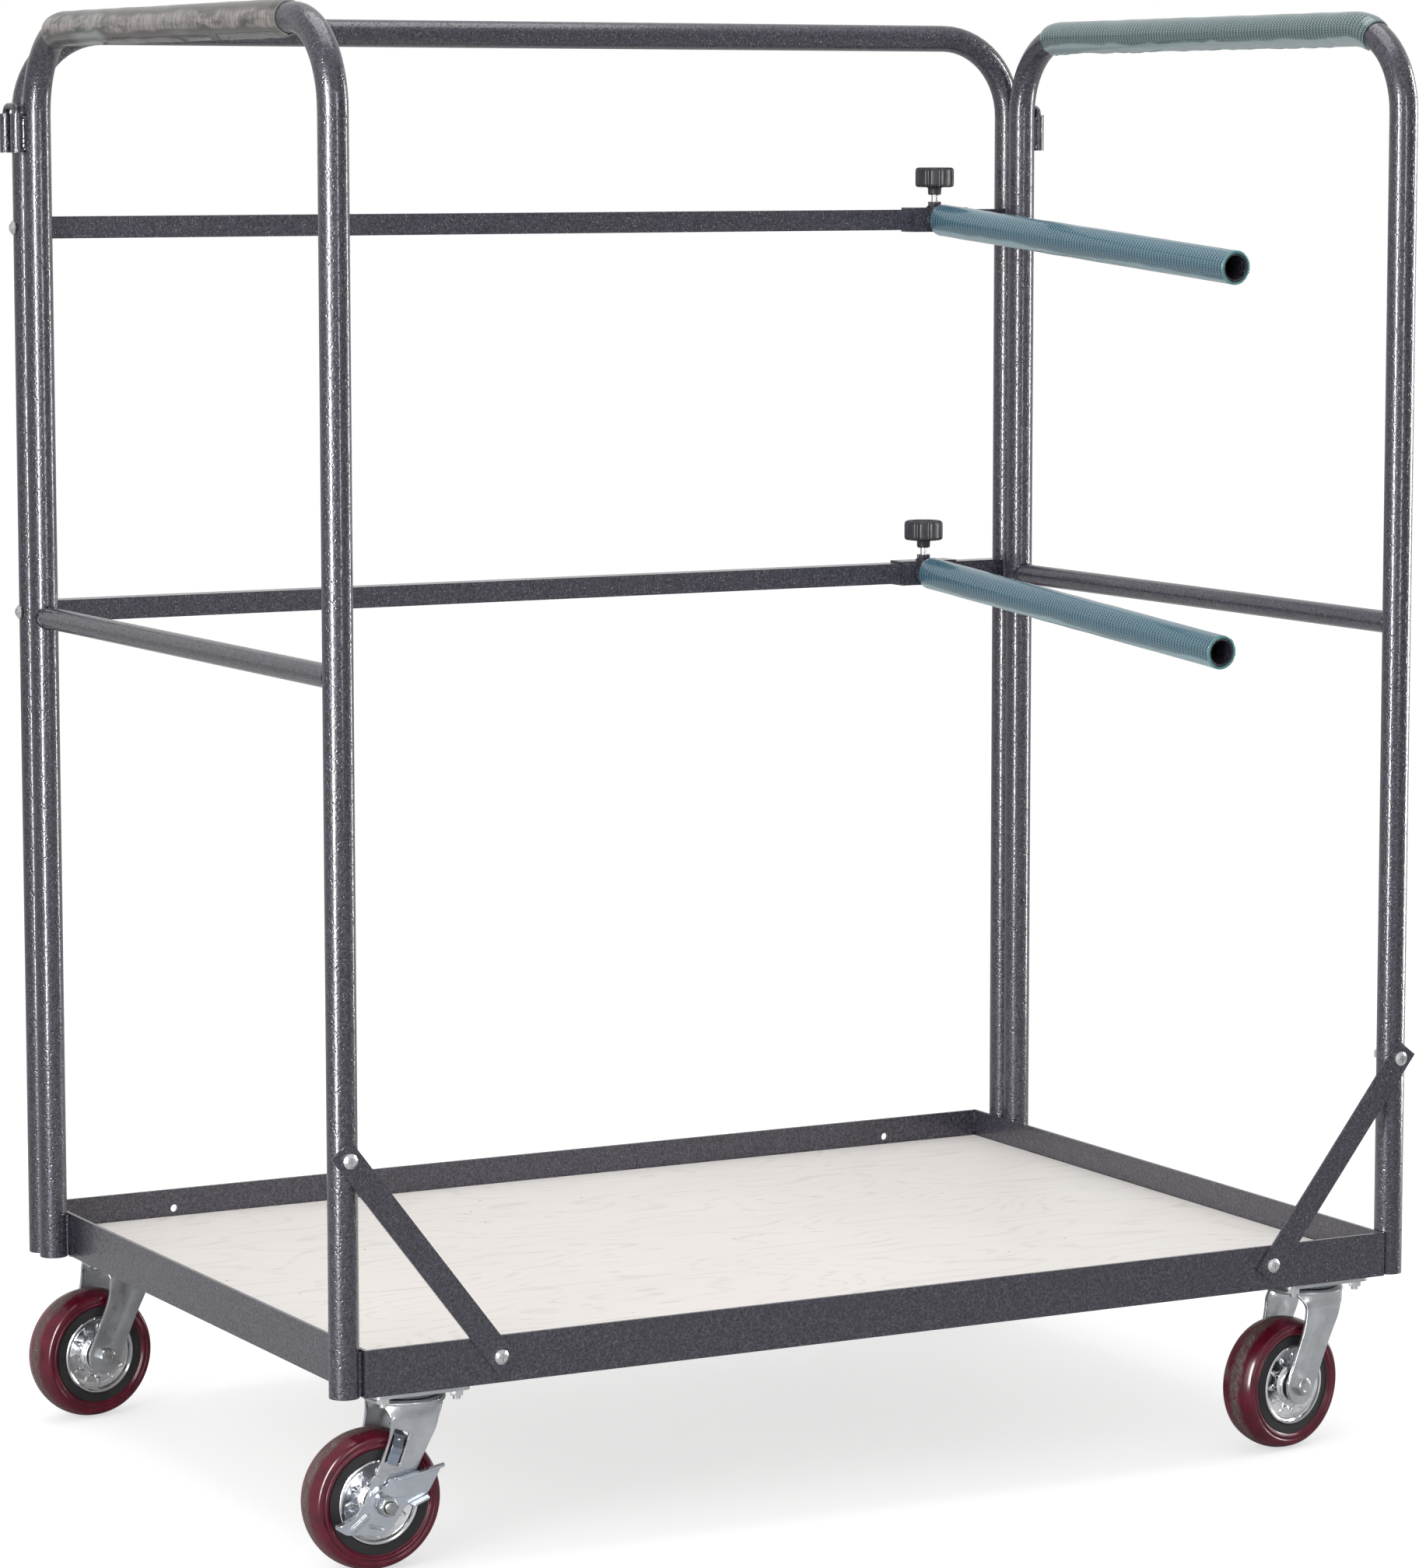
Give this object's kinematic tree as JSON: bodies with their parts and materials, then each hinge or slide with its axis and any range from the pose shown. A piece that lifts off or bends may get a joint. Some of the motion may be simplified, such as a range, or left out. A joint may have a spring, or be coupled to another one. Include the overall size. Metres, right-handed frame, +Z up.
{
  "type": "platform trolley",
  "caption": "Steel platform trolley on swivel casters: framed deck with raised rim, two end hoops and a lift-off rear hoop whose rails carry sliding padded arms clamped by screw knobs.",
  "frame": {"origin": "on the floor, under the middle of the deck frame", "axes": "+Z up, +X along the deck towards the end where the arms stand, -Y towards the open front"},
  "size_m": [1.369, 0.908, 1.6244],
  "materials": {
    "frame_paint": "dark grey hammertone powder coat, fine pitted and sparkling texture",
    "deck_board": "pale whitewashed laminate with faint wood grain, satin",
    "arm_hose": "teal fibre-braided hose, satin",
    "left_grip": "olive-grey hose sleeve, dull",
    "right_grip": "pale teal hose sleeve, semi-gloss",
    "knob_plastic": "dark moulded plastic, satin",
    "wheel_tread": "maroon polyurethane, glossy sides, dusty rolling face",
    "wheel_core": "black moulded core, matte",
    "hub_chrome": "bright pressed steel cap",
    "spring_steel": "blue-grey spring steel",
    "bare_steel": "plain steel tube",
    "zinc_fasteners": "bright zinc plate",
    "zinc_casters": "satin zinc plate, slightly mottled"
  },
  "bodies": {
    "trolley": {"deck_frame": "frame_paint", "deck_board": "deck_board", "leg_sockets": "frame_paint", "end_hoop_spigots": "bare_steel", "left_end_hoop": "frame_paint", "right_end_hoop": "frame_paint", "cross_bars": "frame_paint", "left_grip_sleeve": "left_grip", "right_grip_sleeve": "right_grip", "left_brace": "frame_paint", "right_brace": "frame_paint", "brace_fasteners": "zinc_fasteners", "end_pin_sleeves": "frame_paint", "caster_fasteners": "zinc_fasteners", "front_left_plate": "zinc_casters", "front_right_plate": "zinc_casters", "rear_left_plate": "zinc_casters", "rear_right_plate": "zinc_casters"},
    "rear_hoop": {"rear_hoop": "frame_paint", "rear_hoop_spigots": "bare_steel", "upper_rail": "frame_paint", "lower_rail": "frame_paint", "rail_fasteners": "zinc_fasteners", "rear_pin_sleeves": "frame_paint"},
    "left_lock_pin": {"left_lock_pin": "frame_paint"},
    "right_lock_pin": {"right_lock_pin": "frame_paint"},
    "upper_clamp": {"upper_clamp": "frame_paint", "upper_arm": "frame_paint", "upper_arm_hose": "arm_hose"},
    "upper_clamp_screw": {"upper_clamp_screw": "zinc_fasteners"},
    "upper_clamp_knob": {"upper_clamp_knob": "knob_plastic"},
    "lower_clamp": {"lower_clamp": "frame_paint", "lower_arm": "frame_paint", "lower_arm_hose": "arm_hose"},
    "lower_clamp_screw": {"lower_clamp_screw": "zinc_fasteners"},
    "lower_clamp_knob": {"lower_clamp_knob": "knob_plastic"},
    "front_left_fork": {"front_left_fork": "zinc_casters", "front_left_axle": "zinc_fasteners", "front_left_brake_leaf": "spring_steel"},
    "front_left_wheel": {"front_left_tread": "wheel_tread", "front_left_core": "wheel_core", "front_left_hub_caps": "hub_chrome"},
    "front_left_brake_pedal": {"front_left_brake_pedal": "zinc_casters"},
    "front_right_fork": {"front_right_fork": "zinc_casters", "front_right_axle": "zinc_fasteners"},
    "front_right_wheel": {"front_right_tread": "wheel_tread", "front_right_core": "wheel_core", "front_right_hub_caps": "hub_chrome"},
    "rear_left_fork": {"rear_left_fork": "zinc_casters", "rear_left_axle": "zinc_fasteners"},
    "rear_left_wheel": {"rear_left_tread": "wheel_tread", "rear_left_core": "wheel_core", "rear_left_hub_caps": "hub_chrome"},
    "rear_right_fork": {"rear_right_fork": "zinc_casters", "rear_right_axle": "zinc_fasteners", "rear_right_brake_leaf": "spring_steel"},
    "rear_right_wheel": {"rear_right_tread": "wheel_tread", "rear_right_core": "wheel_core", "rear_right_hub_caps": "hub_chrome"},
    "rear_right_brake_pedal": {"rear_right_brake_pedal": "zinc_casters"}
  },
  "joints": [
    {"name": "rear_hoop_lift", "type": "slide", "parent": "trolley", "child": "rear_hoop", "axis": [0, 0, 1], "range_m": [0, 0.06]},
    {"name": "left_lock_pin_pull", "type": "slide", "parent": "rear_hoop", "child": "left_lock_pin", "axis": [0, 0, 1], "range_m": [0, 0.06]},
    {"name": "right_lock_pin_pull", "type": "slide", "parent": "rear_hoop", "child": "right_lock_pin", "axis": [0, 0, 1], "range_m": [0, 0.06]},
    {"name": "upper_arm_slide", "type": "slide", "parent": "rear_hoop", "child": "upper_clamp", "axis": [1, 0, 0], "range_m": [-1.145, 0.049]},
    {"name": "upper_clamp_screw_lift", "type": "slide", "parent": "upper_clamp", "child": "upper_clamp_screw", "axis": [0, 0, 1], "range_m": [0, 0.00375]},
    {"name": "upper_clamp_knob_turn", "type": "hinge", "parent": "upper_clamp_screw", "child": "upper_clamp_knob", "pos_m": [0.548, 0.412, 1.432], "axis": [0, 0, 1], "range_deg": [0, 1080]},
    {"name": "lower_arm_slide", "type": "slide", "parent": "rear_hoop", "child": "lower_clamp", "axis": [1, 0, 0], "range_m": [-1.131, 0.063]},
    {"name": "lower_clamp_screw_lift", "type": "slide", "parent": "lower_clamp", "child": "lower_clamp_screw", "axis": [0, 0, 1], "range_m": [0, 0.00375]},
    {"name": "lower_clamp_knob_turn", "type": "hinge", "parent": "lower_clamp_screw", "child": "lower_clamp_knob", "pos_m": [0.534, 0.412, 0.993], "axis": [0, 0, 1], "range_deg": [0, 1080]},
    {"name": "front_left_swivel", "type": "hinge", "parent": "trolley", "child": "front_left_fork", "pos_m": [-0.567, -0.395, 0.18], "axis": [0, 0, 1], "continuous": true},
    {"name": "front_left_wheel_spin", "type": "hinge", "parent": "front_left_fork", "child": "front_left_wheel", "pos_m": [-0.607, -0.395, 0.075], "axis": [0, 1, 0], "continuous": true},
    {"name": "front_left_brake_press", "type": "hinge", "parent": "front_left_fork", "child": "front_left_brake_pedal", "pos_m": [-0.607, -0.395, 0.075], "axis": [0, 1, 0], "range_deg": [0, 25]},
    {"name": "front_right_swivel", "type": "hinge", "parent": "trolley", "child": "front_right_fork", "pos_m": [0.567, -0.395, 0.18], "axis": [0, 0, 1], "continuous": true},
    {"name": "front_right_wheel_spin", "type": "hinge", "parent": "front_right_fork", "child": "front_right_wheel", "pos_m": [0.52787, -0.40332, 0.075], "axis": [-0.2079, 0.9781, 0], "continuous": true},
    {"name": "rear_left_swivel", "type": "hinge", "parent": "trolley", "child": "rear_left_fork", "pos_m": [-0.567, 0.395, 0.18], "axis": [0, 0, 1], "continuous": true},
    {"name": "rear_left_wheel_spin", "type": "hinge", "parent": "rear_left_fork", "child": "rear_left_wheel", "pos_m": [-0.60639, 0.38805, 0.075], "axis": [-0.1736, 0.9848, 0], "continuous": true},
    {"name": "rear_right_swivel", "type": "hinge", "parent": "trolley", "child": "rear_right_fork", "pos_m": [0.567, 0.395, 0.18], "axis": [0, 0, 1], "continuous": true},
    {"name": "rear_right_wheel_spin", "type": "hinge", "parent": "rear_right_fork", "child": "rear_right_wheel", "pos_m": [0.5271, 0.39221, 0.075], "axis": [-0.0698, 0.9976, 0], "continuous": true},
    {"name": "rear_right_brake_press", "type": "hinge", "parent": "rear_right_fork", "child": "rear_right_brake_pedal", "pos_m": [0.5271, 0.39221, 0.075], "axis": [-0.0698, 0.9976, 0], "range_deg": [0, 25]}
  ],
  "couplings": [
    {"joint": "upper_clamp_knob_turn", "follows": "upper_clamp_screw_lift", "rad_per_m": 5026.5},
    {"joint": "lower_clamp_knob_turn", "follows": "lower_clamp_screw_lift", "rad_per_m": 5026.5}
  ]
}
